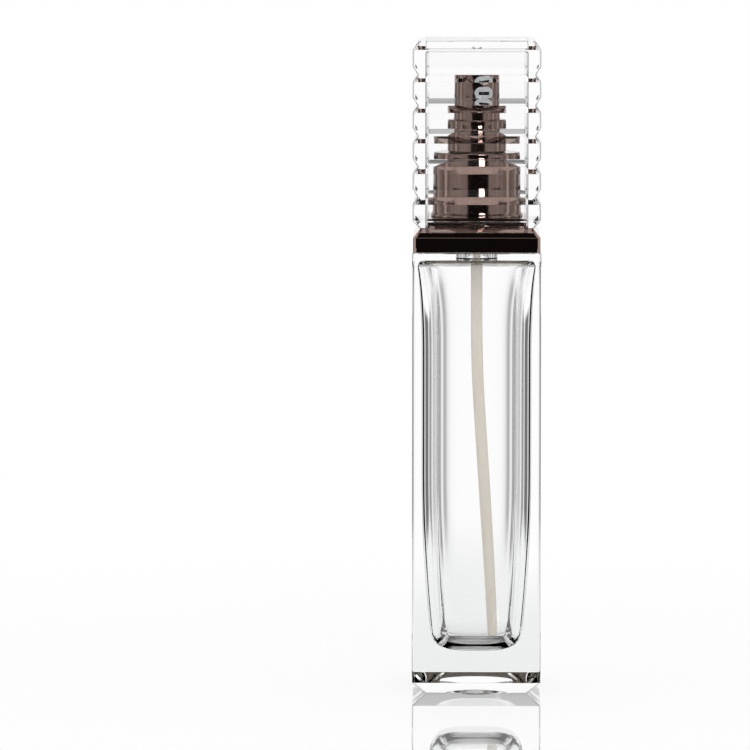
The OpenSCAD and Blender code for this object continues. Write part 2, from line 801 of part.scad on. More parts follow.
// A ring of the tube with its centre at x and z, square to the tube where it is tilted by t
function tube_ring(r, x, z, t) = [
    for (j = [0 : tube_sides - 1])
        let (b = -360 * j / tube_sides)
        [x + r * cos(b) * cos(t), r * sin(b), z + r * cos(b) * sin(t)]
];

// The tube's run: straight down from the pump, one long bend, then straight on its tilt
module tube_run(r, past) {
    bend_z = bottle_h - tube_straight;
    end_z = base_t + tube_end_gap;
    low_bend_z = bend_z - tube_bend_r * sin(tube_tilt);
    low_bend_x = tube_bend_r * (1 - cos(tube_tilt));
    end_x = low_bend_x + (low_bend_z - end_z) * tan(tube_tilt);
    sweep(concat(
        [tube_ring(r, 0, socket_z - press_gap + past, 0)],
        [for (i = [0 : bend_steps]) let (t = tube_tilt * i / bend_steps)
            tube_ring(r, tube_bend_r * (1 - cos(t)), bend_z - tube_bend_r * sin(t), t)],
        [tube_ring(r, end_x + past * sin(tube_tilt), end_z - past * cos(tube_tilt), tube_tilt)]
    ));
}

module dip_tube() {
    color("oldlace")
        difference() {
            tube_run(tube_d / 2, 0);
            tube_run(tube_bore_d / 2, cut);
        }
}

// ---------------------------------------------------------------- cap

// Half outline of one groove, from below it to above it
function groove(i) = let (z = cap_z + cap_h - groove_start - groove_pitch * i) [
    [cap_w / 2, z - groove_h / 2],
    [cap_w / 2 - groove_d, z],
    [cap_w / 2, z + groove_h / 2]
];

module cap() {
    half = cap_w / 2;
    top_z = cap_z + cap_h;
    outline = concat(
        [[half - cap_bevel_w, cap_z], [half, cap_z + cap_foot_bevel_h]],
        [for (i = [groove_count - 1 : -1 : 0]) each groove(i)],
        [[half, top_z - cap_top_bevel_h], [half - cap_bevel_w, top_z]]
    );
    color("aliceblue", 0.4)
        difference() {
            square_body(outline, cap_w, cap_edge_r);
            translate([0, 0, cap_z - cut])
                linear_extrude(height = cap_h - cap_top_t + cut)
                    rounded_square(cap_cavity_w, cap_inner_r);
            translate([0, 0, top_z - gate_h])
                cylinder(d = gate_d, h = gate_h + cut);
        }
}

glass_bottle();
collar_plate();
neck_gasket();
pump_housing();
inlet_ball();
return_spring();
valve_plunger();
piston();
stem();
stem_gasket();
stem_guide();
turret_sleeve();
threaded_liner();
ferrule();
actuator_core();
actuator_shell();
nozzle_insert();
dip_tube();
cap();
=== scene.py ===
# Aftershave bottle: clear heavy-base glass, gunmetal collar and spray pump, clear ribbed cap.
# Lengths are in millimetres until a piece is finished, which brings it to metres.
import math
import bpy
import bmesh
from mathutils import Matrix, Vector


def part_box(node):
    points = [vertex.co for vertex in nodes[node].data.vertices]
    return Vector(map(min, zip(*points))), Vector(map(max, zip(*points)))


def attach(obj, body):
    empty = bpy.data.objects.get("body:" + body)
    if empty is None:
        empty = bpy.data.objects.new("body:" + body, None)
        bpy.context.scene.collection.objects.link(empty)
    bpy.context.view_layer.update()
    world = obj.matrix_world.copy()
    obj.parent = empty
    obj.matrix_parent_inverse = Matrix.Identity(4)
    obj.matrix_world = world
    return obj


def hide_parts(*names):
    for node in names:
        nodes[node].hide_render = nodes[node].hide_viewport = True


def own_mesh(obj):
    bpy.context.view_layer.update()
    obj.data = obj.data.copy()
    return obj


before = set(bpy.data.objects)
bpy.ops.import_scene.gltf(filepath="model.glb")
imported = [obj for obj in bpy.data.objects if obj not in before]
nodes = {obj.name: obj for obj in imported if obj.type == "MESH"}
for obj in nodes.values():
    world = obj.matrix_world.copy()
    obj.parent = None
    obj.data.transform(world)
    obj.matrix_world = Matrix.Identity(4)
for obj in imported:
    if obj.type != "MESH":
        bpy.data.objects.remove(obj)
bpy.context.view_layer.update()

MM = 0.001  # one millimetre in metres
SAME_POINT = 0.0005  # points closer than this become one

# How fine the meshes are
CORNER_STEPS = 11  # facets in a rounded corner
RING = 4 * (CORNER_STEPS + 1)  # points in every loop, square or round
TURN_STEPS = 144  # facets round a turned piece
LEVELS = 8  # loops over the height of the cavity's taper, and again of its flare
THREAD_STEPS = 48  # facets in one turn of the screw thread
TUBE_POINTS, BEND_STEPS = 32, 12  # points round the tube, and facets along its bend
COIL_STEPS, WIRE_POINTS = 32, 10  # facets in one turn of the spring, and points round its wire

# ---------------------------------------------------------------- sizes, as the solids have them

# Glass bottle: half widths from the axis, radii, and heights (_Z) above the surface it stands on
BOTTLE_HALF, BOTTLE_H, BEVEL_W, BEVEL_H = 16.5, 113.5, 3.15, 2.95
GLASS_EDGE_R, GLASS_SOFT_R = 0.8, 0.35  # its upright and its level edges
WALL, SHOULDER_WALL, SHOULDER_T, BASE_T = 2.4, 1.2, 2.0, 10.4
CAVITY_R, SHOULDER_R, FLOOR_R, CEILING_R = 6.2, 1.0, 5.5, 2.0
TAPER, TAPER_H, FLARE_H, CORNER_H = 2.0, 40.0, 24.0, 16.0
RECESS_R, RECESS_H, RECESS_DRAFT, RECESS_EDGE_W, RECESS_EDGE_H = 10.0, 2.4, 0.4, 0.4, 0.3
SEAT_R, NECK_R, NECK_BORE_R, RIM_Z, STEP_Z = 8.85, 7.9, 5.3, 133.0, 122.1
RIM_EDGE, SEAT_EDGE = 0.4, 0.3
THREAD_TURNS, THREAD_PITCH, THREAD_DROP, THREAD_FADE = 1.5, 3.175, 3.1, 0.125
THREAD_FOOT, THREAD_CREST, THREAD_SUNK = 1.0, 0.4, 0.2  # half widths, and how deep it starts

# Collar plate, with the step that takes the cap and a snap bump on each side of it
COLLAR_HALF, COLLAR_SIDE_Z, LEDGE_Z, LEDGE_HALF = 16.25, 117.35, 119.75, 14.4
STEP_HALF, COLLAR_R, COLLAR_BORE_R, COLLAR_SOFT_R = 12.95, 0.9, 9.0, 0.12
UNDER_Z = BOTTLE_H + 0.02
SNAP_L, SNAP_H, SNAP_OUT = 6.6, 0.9, 0.17

# Cap, with the small round moulding mark on its top
CAP_Z, CAP_TOP_Z, CAP_HALF, CAP_CAVITY_HALF, CAP_CEILING_Z = 119.8, 167.5, 16.35, 13.15, 164.8
CAP_BEVEL_W, CAP_TOP_BEVEL, CAP_FOOT_BEVEL, GROOVE_D, GROOVE_H = 1.54, 2.25, 1.9, 1.2, 3.8
GROOVE_DROP, GROOVE_PITCH, GROOVE_COUNT = 8.56, 7.8, 5
CAP_EDGE_R, CAP_SOFT_R, CAP_CAVITY_EDGE_R, CAP_CEILING_R = 0.7, 0.2, 1.0, 0.4
MARK = [(1.35, 0), (1.2, 0.06), (1.1, 0.2)]  # radius and depth

# Plated shells of the closure and the turret
FOOT_Z, FERRULE_TOP_Z, FERRULE_T, FERRULE_SOFT_R = 122.2, 138.58, 0.5, 0.42
FERRULE_R, FERRULE_TOP_R, FERRULE_HOLE_R, FERRULE_FOOT_BORE_R = 11.37, 11.075, 7.05, 10.925
FLARE = [(11.175, 0), (11.85, 0), (11.85, 0.35), (11.62, 0.65), (11.42, 1.0), (FERRULE_R, 1.4)]
TURRET_Z, TURRET_TOP_Z, TURRET_R, TURRET_T, TURRET_SOFT_R = 138.68, 146.98, 7.55, 0.6, 0.5
TURRET_HOLE_R = 6.15

# Dip tube and return spring
TUBE_R, TUBE_BORE_R, TUBE_STRAIGHT, TUBE_BEND_R, TUBE_CLEAR = 1.5, 0.9, 18, 350.0, 1.8
TUBE_TILT = 3.7  # degrees
SPRING_R, WIRE_R, SPRING_TURNS, CLOSED_GAP, PRESS = 2.25, 0.25, 7, 0.02, 5.0


# ---------------------------------------------------------------- modelling helpers

NEARLY_STRAIGHT = math.radians(176)
SHARE_OF_SIDE = 0.45


def soften(outline, radius, steps=3, closed=False):
    """Rounds the corners of an outline of (width, height) points as far as there is room."""
    points = [Vector(p) for p in outline]
    out = []
    for i, p in enumerate(points):
        if not closed and i in (0, len(points) - 1):
            out.append(p)
            continue
        before, after = points[i - 1] - p, points[(i + 1) % len(points)] - p
        turn = before.angle(after)
        if turn > NEARLY_STRAIGHT:
            out.append(p)
            continue
        room = SHARE_OF_SIDE * min(before.length, after.length)
        reach = min(radius / math.tan(turn / 2), room)
        a, b = p + before.normalized() * reach, p + after.normalized() * reach
        inwards = (before.normalized() + after.normalized()).normalized()
        middle = p + inwards * reach / math.cos(turn / 2)
        start, sweep = a - middle, (a - middle).angle_signed(b - middle)
        for k in range(steps + 1):
            out.append(middle + Matrix.Rotation(-sweep * k / steps, 2) @ start)
    return [tuple(p) for p in out]


def square_loop(bm, half, corner, z):
    """A square with round corners, as a loop of edges."""
    place = Matrix.Translation((0, 0, z)) @ Matrix.Rotation(math.radians(45), 4, "Z")
    made = bmesh.ops.create_circle(bm, segments=4, radius=half * math.sqrt(2), matrix=place)
    cut = bmesh.ops.bevel(bm, geom=made["verts"], offset=corner, offset_type="OFFSET",
                          affect="VERTICES", segments=CORNER_STEPS, profile=0.5, material=-1)
    return list({e for v in cut["verts"] for e in v.link_edges})


def hoop(bm, radius, points, place):
    """A circle of so many points at a place, as a loop of edges."""
    made = bmesh.ops.create_circle(bm, segments=points, radius=radius, matrix=place)
    return list({e for v in made["verts"] for e in v.link_edges})


def round_loop(bm, radius, z):
    """A level circle with as many points as a square loop."""
    place = Matrix.Translation((0, 0, z)) @ Matrix.Rotation(math.pi / RING, 4, "Z")
    return hoop(bm, radius, RING, place)


def skin(bm, loops):
    """Joins each loop to the next one."""
    for a, b in zip(loops, loops[1:]):
        bmesh.ops.bridge_loops(bm, edges=a + b)


def turned(outline):
    """Turns a closed outline of (radius, height) points about the Z axis."""
    bm = bmesh.new()
    verts = [bm.verts.new((r, 0, z)) for r, z in outline]
    edges = [bm.edges.new((verts[i - 1], verts[i])) for i in range(len(verts))]
    bmesh.ops.spin(bm, geom=verts + edges, axis=(0, 0, 1), cent=(0, 0, 0), angle=2 * math.pi,
                   steps=TURN_STEPS, use_merge=True)
    return bm


def piece(name, bm, body, material, replaced=None, sharp=40):
    """Finishes a mesh as a named piece on a body. Edges over sharp degrees stay crisp."""
    bmesh.ops.remove_doubles(bm, verts=bm.verts, dist=SAME_POINT)
    bmesh.ops.dissolve_degenerate(bm, edges=bm.edges, dist=SAME_POINT)
    bmesh.ops.recalc_face_normals(bm, faces=bm.faces)
    for face in bm.faces:
        face.smooth = True
    for edge in bm.edges:
        edge.smooth = len(edge.link_faces) == 2 and edge.calc_face_angle(0) < math.radians(sharp)
    bmesh.ops.scale(bm, vec=(MM, MM, MM), verts=bm.verts)
    mesh = bpy.data.meshes.new(name)
    bm.to_mesh(mesh)
    bm.free()
    mesh.materials.append(material)
    obj = bpy.data.objects.new(name, mesh)
    bpy.context.scene.collection.objects.link(obj)
    even = obj.modifiers.new("flat faces stay flat", "WEIGHTED_NORMAL")
    even.mode = "FACE_AREA"
    even.weight = 50
    even.keep_sharp = True
    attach(obj, body)
    if replaced:
        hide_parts(replaced)
    return obj


# ---------------------------------------------------------------- material helpers

def shade(code):
    """An sRGB hex colour as linear red, green, blue and an alpha of 1."""
    parts = [int(code[i:i + 2], 16) / 255 for i in (0, 2, 4)]
    return [c / 12.92 if c <= 0.04045 else ((c + 0.055) / 1.055) ** 2.4 for c in parts] + [1.0]


def add(tree, kind, links=(), values=(), **settings):
    """Adds a node, sets its settings and socket values, and links sockets to others' outputs."""
    node = tree.nodes.new(kind)
    for key, value in settings.items():
        setattr(node, key, value)
    for key, value in dict(values).items():
        node.inputs[key].default_value = value
    for key, socket in dict(links).items():
        tree.links.new(socket, node.inputs[key])
    return node


def material(name, **values):
    """A material with a Principled shader and its values; returns it, its tree and its shader."""
    mat = bpy.data.materials.new(name)
    mat.use_nodes = True
    tree = mat.node_tree
    shader = tree.nodes["Principled BSDF"]
    for key, value in values.items():
        shader.inputs[key.replace("_", " ")].default_value = value
    return mat, tree, shader


def cloudy(tree, grain, stretch=(1, 1, 1), detail=2.0):
    """A soft random pattern on Object coordinates, with grains so many millimetres across."""
    where = add(tree, "ShaderNodeTexCoord")
    mapped = add(tree, "ShaderNodeMapping", {"Vector": where.outputs["Object"]}, {"Scale": stretch})
    return add(tree, "ShaderNodeTexNoise", {"Vector": mapped.outputs["Vector"]},
               {"Scale": 1 / (grain * MM), "Detail": detail}).outputs["Fac"]


# A soft random pattern seldom leaves this range, so it is stretched from it
PATTERN_RANGE = {"From Min": 0.3, "From Max": 0.7}


def uneven(tree, shader, pattern, depth):
    """Raises a surface by a pattern, so many millimetres from its lowest to its highest."""
    bump = add(tree, "ShaderNodeBump", {"Height": pattern}, {"Distance": depth * MM})
    tree.links.new(bump.outputs["Normal"], shader.inputs["Normal"])


def rougher(tree, shader, pattern, low, high):
    """Varies the roughness over a pattern."""
    span = add(tree, "ShaderNodeMapRange", {"Value": pattern},
               {**PATTERN_RANGE, "To Min": low, "To Max": high})
    tree.links.new(span.outputs[0], shader.inputs["Roughness"])


def toned(tree, shader, pattern, low, high):
    """Varies the colour between two hex colours over a pattern, and returns the colour's socket."""
    span = add(tree, "ShaderNodeMapRange", {"Value": pattern}, PATTERN_RANGE)
    mixed = add(tree, "ShaderNodeMix", {0: span.outputs[0]}, {6: shade(low), 7: shade(high)},
                data_type="RGBA")
    tree.links.new(mixed.outputs[2], shader.inputs["Base Color"])
    return mixed.outputs[2]


# ---------------------------------------------------------------- materials

# Soda-lime bottle glass, press-and-blow moulded and fire polished: water clear and mirror smooth,
# with slow waves about 14 mm long and 0.015 mm high that bend what shows through it
glass, tree, shader = material("flint_glass", Base_Color=shade("FFFFFF"), IOR=1.52,
                               Transmission_Weight=1.0, Specular_Tint=shade("808080"))
waves = cloudy(tree, 14, (1, 1, 0.7), 1.0)
uneven(tree, shader, waves, 0.015)
rougher(tree, shader, waves, 0.0, 0.012)

# Clear acrylic (PMMA), injection moulded and polished: clear and hard-edged, and its flow leaves
# shallow waves about 9 mm long
acrylic, tree, shader = material("clear_acrylic", Base_Color=shade("FEFEFE"), IOR=1.49,
                                 Transmission_Weight=1.0, Specular_Tint=shade("808080"))
waves = cloudy(tree, 9, (1, 1, 0.4), 1.0)
uneven(tree, shader, waves, 0.006)
rougher(tree, shader, waves, 0.0, 0.015)

# Gunmetal nickel plating on a die casting: a dark warm mirror with a faint orange peel, 1.5 mm
# across
plating, tree, shader = material("gunmetal_plating", Metallic=1.0)
peel = cloudy(tree, 1.5)
uneven(tree, shader, peel, 0.0006)
rougher(tree, shader, cloudy(tree, 5), 0.035, 0.06)
toned(tree, shader, cloudy(tree, 7), "98837B", "9C877E")

# The same plating on shells drawn from aluminium sheet: faint lines along the draw, 0.7 mm apart,
# coarser than real ones so that they show
drawn, tree, shader = material("gunmetal_plated_aluminium", Metallic=1.0)
lines = cloudy(tree, 0.7, (1, 1, 0.02), 1.0)
uneven(tree, shader, lines, 0.0008)
rougher(tree, shader, lines, 0.035, 0.08)
toned(tree, shader, lines, "927C74", "9A847B")

# The collar casting's underside, left bare: light warm grey, satin, with a sandy grain of 0.4 mm
casting, tree, shader = material("bare_die_casting", Metallic=0.2)
sand = cloudy(tree, 0.4)
uneven(tree, shader, sand, 0.02)
rougher(tree, shader, sand, 0.38, 0.52)
toned(tree, shader, cloudy(tree, 3), "B2A796", "BEB3A2")

# Polypropylene, injection moulded: white, softly glossy, with the mould's spark-eroded grain of
# 0.3 mm
white_pp, tree, shader = material("white_polypropylene", IOR=1.49)
spark = cloudy(tree, 0.3)
uneven(tree, shader, spark, 0.004)
rougher(tree, shader, spark, 0.24, 0.34)
toned(tree, shader, cloudy(tree, 4), "EBEDEF", "F1F3F4")

# Natural polypropylene of the pump's insides: milky, with cloudier and clearer places
milky_pp, tree, shader = material("natural_polypropylene", IOR=1.49)
spark = cloudy(tree, 0.3)
uneven(tree, shader, spark, 0.004)
rougher(tree, shader, spark, 0.3, 0.42)
toned(tree, shader, cloudy(tree, 3), "E8E5DC", "F0EEE8")

# Acetal nozzle insert, moulded and glossy: pale grey-white, its slot painted dark as shade from the
# radius at which its edge lies to that of its floor
SLOT_EDGE_R, SLOT_FLOOR_R = 5.7, 5.45
acetal, tree, shader = material("white_acetal", IOR=1.48)
spark = cloudy(tree, 0.4)
uneven(tree, shader, spark, 0.002)
rougher(tree, shader, spark, 0.16, 0.26)
face = toned(tree, shader, cloudy(tree, 2), "C4C8C9", "CDD0D1")
# Painted shade: nearer the axis than the slot's edge, the colour goes to near black
where = add(tree, "ShaderNodeTexCoord")
across = add(tree, "ShaderNodeVectorMath", {0: where.outputs["Object"]}, {1: (1, 1, 0)},
             operation="MULTIPLY")
out = add(tree, "ShaderNodeVectorMath", {0: across.outputs["Vector"]}, operation="LENGTH")
slot_shade = add(tree, "ShaderNodeMapRange", {"Value": out.outputs["Value"]},
           {"From Min": SLOT_EDGE_R * MM, "From Max": SLOT_FLOOR_R * MM})
slot = add(tree, "ShaderNodeMix", {0: slot_shade.outputs[0], 6: face}, {7: shade("15171A")},
           data_type="RGBA")
tree.links.new(slot.outputs[2], shader.inputs["Base Color"])

# Extruded natural polyethylene: cream, with faint lines along the tube from the die, 0.3 mm apart
tube_pe, tree, shader = material("natural_polyethylene", IOR=1.51, Specular_IOR_Level=0.3)
lines = cloudy(tree, 0.3, (1, 1, 0.01), 1.0)
uneven(tree, shader, lines, 0.003)
rougher(tree, shader, lines, 0.3, 0.42)
toned(tree, shader, lines, "FFF3E2", "FFFAF0")

# Foamed polyethylene gasket: pale and matt, with closed cells of 0.3 mm
foam, tree, shader = material("foamed_polyethylene", IOR=1.5)
cells = cloudy(tree, 0.3, detail=3.0)
uneven(tree, shader, cells, 0.05)
rougher(tree, shader, cells, 0.7, 0.9)
toned(tree, shader, cells, "DCDCDA", "EAEAE8")

# Stainless spring wire and ball: bright, with drawing and lapping marks of 0.2 mm
steel, tree, shader = material("stainless_steel", Metallic=1.0)
marks = cloudy(tree, 0.2, detail=3.0)
uneven(tree, shader, marks, 0.001)
rougher(tree, shader, marks, 0.14, 0.26)
toned(tree, shader, cloudy(tree, 1), "C2C1BE", "CECDCA")

CARRIED = {
    "neck_gasket": foam, "stem_gasket": foam, "pump_housing": milky_pp, "inlet_ball": steel,
    "valve_plunger": milky_pp, "piston": milky_pp, "stem": milky_pp,
    "stem_guide": white_pp, "threaded_liner": white_pp, "actuator_core": white_pp,
    "nozzle_insert": acetal,
}
for name, mat in CARRIED.items():
    for place in nodes[name].material_slots:
        place.material = mat


# ---------------------------------------------------------------- glass bottle

def arc(radius, reach):
    """How far a rounded edge has turned in, at a reach into it."""
    return radius - math.sqrt(max(0.0, radius ** 2 - max(0.0, reach) ** 2))


def soft_loop(bm, half, corner, z):
    """A square with superelliptic corners that come as far in as round corners of that radius."""
    power = -math.log(2) / math.log(1 - (1 - math.sqrt(0.5)) * min(1, corner / half))
    edges = round_loop(bm, half, z)
    for v in {v for e in edges for v in e.verts}:
        at = math.atan2(v.co.y, v.co.x)
        grow = (abs(math.cos(at)) ** power + abs(math.sin(at)) ** power) ** (-1 / power)
        v.co.x, v.co.y = half * grow * math.cos(at), half * grow * math.sin(at)
    return edges


def cavity_size(z):
    """Half width and corner radius of the cavity at a height.

    From the floor up it tapers open, its wall thins towards the shoulder, and its corners tighten.
    """
    top, taper_z = BOTTLE_H - SHOULDER_T, BASE_T + FLOOR_R
    half = BOTTLE_HALF - WALL + (WALL - SHOULDER_WALL) * max(0.0, 1 - (top - z) / FLARE_H) ** 2
    half -= TAPER * min(1.0, max(0.0, 1 - (z - taper_z) / TAPER_H)) ** 2
    half -= arc(FLOOR_R, taper_z - z) + arc(CEILING_R, z - top + CEILING_R)
    return half, CAVITY_R - (CAVITY_R - SHOULDER_R) * arc(1, 1 - (top - z) / CORNER_H)


FLAT = 10.5  # points here lie on level faces, and only give the next corner its direction
outside = soften([(FLAT, 0), (BOTTLE_HALF - BEVEL_W, 0), (BOTTLE_HALF, BEVEL_H),
                  (BOTTLE_HALF, BOTTLE_H), (FLAT, BOTTLE_H)], GLASS_SOFT_R)[1:-1]

# The levels of the cavity's loops lie closest where it bends
bends = [math.radians(a) for a in range(0, 91, 9)]
ceiling_z = BOTTLE_H - SHOULDER_T
levels = [BASE_T + FLOOR_R * (1 - math.cos(a)) for a in bends[1:]]
levels += [BASE_T + FLOOR_R + TAPER_H * (i + 1) / LEVELS for i in range(LEVELS)]
levels += [ceiling_z - FLARE_H + (FLARE_H - CORNER_H) * i / LEVELS for i in range(LEVELS)]
levels += [ceiling_z - CORNER_H + (CORNER_H - CEILING_R) * i / (LEVELS + 1)
           for i in range(LEVELS + 1)]
levels += [ceiling_z - CEILING_R * (1 - math.sin(a)) for a in bends]

# Loops from the recess under the base, up the outside, over the rim and down the inside
bm = bmesh.new()
roof_r = RECESS_R - RECESS_DRAFT
recess = [(roof_r - RECESS_EDGE_W, RECESS_H), (roof_r, RECESS_H - RECESS_EDGE_H), (RECESS_R, 0)]
neck = [(SEAT_R, BOTTLE_H), (SEAT_R, STEP_Z - SEAT_EDGE), (SEAT_R - SEAT_EDGE, STEP_Z),
        (NECK_R, STEP_Z), (NECK_R, RIM_Z - RIM_EDGE), (NECK_R - RIM_EDGE, RIM_Z),
        (NECK_BORE_R + RIM_EDGE, RIM_Z), (NECK_BORE_R, RIM_Z - RIM_EDGE),
        (NECK_BORE_R, ceiling_z + SEAT_EDGE), (NECK_BORE_R + SEAT_EDGE, ceiling_z)]
inside = [(*cavity_size(z), z) for z in reversed(levels)]
loops = [round_loop(bm, *at) for at in recess]
loops += [square_loop(bm, half, GLASS_EDGE_R, z) for half, z in outside]
loops += [round_loop(bm, *at) for at in neck]
loops += [soft_loop(bm, *at) for at in inside]
skin(bm, loops)
bmesh.ops.contextual_create(bm, geom=loops[0])
bmesh.ops.contextual_create(bm, geom=loops[-1])
piece("glass_body", bm, "bottle", glass, "glass_bottle", sharp=50)

# The screw thread: a helical ridge on the neck whose ends fade into it, to just under its surface
FADED_IN = 0.02
thread_z = RIM_Z - THREAD_DROP - THREAD_TURNS * THREAD_PITCH
bm = bmesh.new()
profile = [(NECK_R - THREAD_SUNK, -THREAD_FOOT), (NECK_R - THREAD_SUNK, THREAD_FOOT),
           (SEAT_R, THREAD_CREST), (SEAT_R, -THREAD_CREST)]
ridge = [bm.verts.new((r, 0, thread_z + z)) for r, z in profile]
sides = [bm.edges.new((ridge[i - 1], ridge[i])) for i in range(len(ridge))]
bmesh.ops.contextual_create(bm, geom=sides)
steps = round(THREAD_TURNS * THREAD_STEPS)
made = bmesh.ops.spin(bm, geom=ridge + sides, axis=(0, 0, 1), cent=(0, 0, 0),
                      angle=2 * math.pi * THREAD_TURNS,
                      dvec=(0, 0, THREAD_PITCH * THREAD_TURNS / steps), steps=steps)
end_edges = [g for g in made["geom_last"] if isinstance(g, bmesh.types.BMEdge)]
bmesh.ops.contextual_create(bm, geom=end_edges)
for v in bm.verts:
    reach = math.hypot(v.co.x, v.co.y)
    if reach > NECK_R:
        part = math.atan2(v.co.y, v.co.x) / (2 * math.pi)
        turn = part + round((v.co.z - thread_z) / THREAD_PITCH - part)
        rise = min(1, turn / THREAD_FADE, (THREAD_TURNS - turn) / THREAD_FADE)
        v.co.xy *= (NECK_R - FADED_IN + (SEAT_R - NECK_R) * rise) / reach
piece("neck_thread", bm, "bottle", glass)

# ---------------------------------------------------------------- collar plate

bm = bmesh.new()
outline = soften([(COLLAR_BORE_R, UNDER_Z), (COLLAR_HALF, UNDER_Z), (COLLAR_HALF, COLLAR_SIDE_Z),
                  (LEDGE_HALF, LEDGE_Z), (STEP_HALF, LEDGE_Z), (STEP_HALF, STEP_Z),
                  (COLLAR_BORE_R, STEP_Z)], COLLAR_SOFT_R, 2)
loops = [square_loop(bm, half, COLLAR_R, z) for half, z in outline[1:-1]]
loops = [round_loop(bm, COLLAR_BORE_R, UNDER_Z)] + loops + [round_loop(bm, COLLAR_BORE_R, STEP_Z)]
skin(bm, loops + loops[:1])
bump = Matrix.Translation((0, -STEP_HALF, (LEDGE_Z + STEP_Z) / 2))
bump @= Matrix.Diagonal((SNAP_L / 2, SNAP_OUT, SNAP_H / 2, 1))
for side in range(4):
    bmesh.ops.create_uvsphere(bm, u_segments=32, v_segments=16, radius=1,
                              matrix=Matrix.Rotation(side * math.pi / 2, 4, "Z") @ bump)

# The level faces of the underside are bare metal, in the second material slot
bm.normal_update()
for face in bm.faces:
    low = face.calc_center_median().z < UNDER_Z + 0.01
    face.material_index = int(low and abs(face.normal.z) > 0.99)
collar = piece("collar", bm, "bottle", plating, "collar_plate")
collar.data.materials.append(casting)

# ---------------------------------------------------------------- plated shells

foot = [(r, FOOT_Z + up) for r, up in FLARE]
roof_z = FERRULE_TOP_Z - FERRULE_T
ferrule = foot + soften([foot[-1], (FERRULE_TOP_R, FERRULE_TOP_Z), (FERRULE_HOLE_R, FERRULE_TOP_Z),
                         (FERRULE_HOLE_R, roof_z), (FERRULE_TOP_R - FERRULE_T, roof_z),
                         (FERRULE_FOOT_BORE_R, FOOT_Z)], FERRULE_SOFT_R, 5)[1:]
piece("ferrule_shell", turned(ferrule), "closure", drawn, "ferrule")

bore_r, roof_z = TURRET_R - TURRET_T, TURRET_TOP_Z - TURRET_T
sleeve = soften([(bore_r, TURRET_Z), (TURRET_R, TURRET_Z), (TURRET_R, TURRET_TOP_Z),
                 (TURRET_HOLE_R, TURRET_TOP_Z), (TURRET_HOLE_R, roof_z), (bore_r, roof_z)],
                TURRET_SOFT_R, 5, closed=True)
piece("turret_shell", turned(sleeve), "pump", drawn, "turret_sleeve")

for place in nodes["actuator_shell"].material_slots:
    place.material = drawn

# ---------------------------------------------------------------- dip tube

# Straight down from the pump, then a slow bend to one side, then straight on to near the floor
bend_z, tilt, end_z = BOTTLE_H - TUBE_STRAIGHT, math.radians(TUBE_TILT), BASE_T + TUBE_CLEAR
stations = [(0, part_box("dip_tube")[1][2] / MM, 0)]
for t in [tilt * k / BEND_STEPS for k in range(BEND_STEPS + 1)]:
    stations.append((TUBE_BEND_R * (1 - math.cos(t)), bend_z - TUBE_BEND_R * math.sin(t), t))
low_x, low_z, _ = stations[-1]
stations.append((low_x + (low_z - end_z) * math.tan(tilt), end_z, tilt))
bm = bmesh.new()
shells = []
for radius in (TUBE_R, TUBE_BORE_R):
    loops = []
    for x, z, t in stations:
        place = Matrix.Translation((x, 0, z)) @ Matrix.Rotation(-t, 4, "Y")
        loops.append(hoop(bm, radius, TUBE_POINTS, place))
    skin(bm, loops)
    shells.append(loops)
for end in (0, -1):
    bmesh.ops.bridge_loops(bm, edges=shells[0][end] + shells[1][end])
piece("tube", bm, "pump", tube_pe, "dip_tube")

# ---------------------------------------------------------------- return spring

# Its first and last turn are closed.
low_z, high_z = (corner[2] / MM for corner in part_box("return_spring"))
closed = 2 * WIRE_R + CLOSED_GAP
rise = (high_z - low_z - 2 * WIRE_R - 2 * closed) / (SPRING_TURNS - 2)
out_on_coil = Matrix.Translation((SPRING_R, 0, 0)) @ Matrix.Rotation(math.pi / 2, 4, "X")
bm = bmesh.new()
loops = []
for turn in [i / COIL_STEPS for i in range(COIL_STEPS * SPRING_TURNS + 1)]:
    z = low_z + WIRE_R + closed * (min(turn, 1) + max(0, turn - SPRING_TURNS + 1))
    z += rise * max(0, min(turn - 1, SPRING_TURNS - 2))
    round_axis = Matrix.Translation((0, 0, z)) @ Matrix.Rotation(2 * math.pi * turn, 4, "Z")
    loops.append(hoop(bm, WIRE_R, WIRE_POINTS, round_axis @ out_on_coil))
skin(bm, loops)
for end in (0, -1):
    bmesh.ops.contextual_create(bm, geom=loops[end])
spring = piece("coil_spring", bm, "pump", steel, "return_spring")
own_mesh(spring)

# ---------------------------------------------------------------- cap

bm = bmesh.new()
outline = [(CAP_HALF - CAP_BEVEL_W, CAP_Z), (CAP_HALF, CAP_Z + CAP_FOOT_BEVEL)]
for z in [CAP_TOP_Z - GROOVE_DROP - GROOVE_PITCH * i for i in reversed(range(GROOVE_COUNT))]:
    outline += [(CAP_HALF, z - GROOVE_H / 2), (CAP_HALF - GROOVE_D, z),
                (CAP_HALF, z + GROOVE_H / 2)]
outline += [(CAP_HALF, CAP_TOP_Z - CAP_TOP_BEVEL), (CAP_HALF - CAP_BEVEL_W, CAP_TOP_Z)]

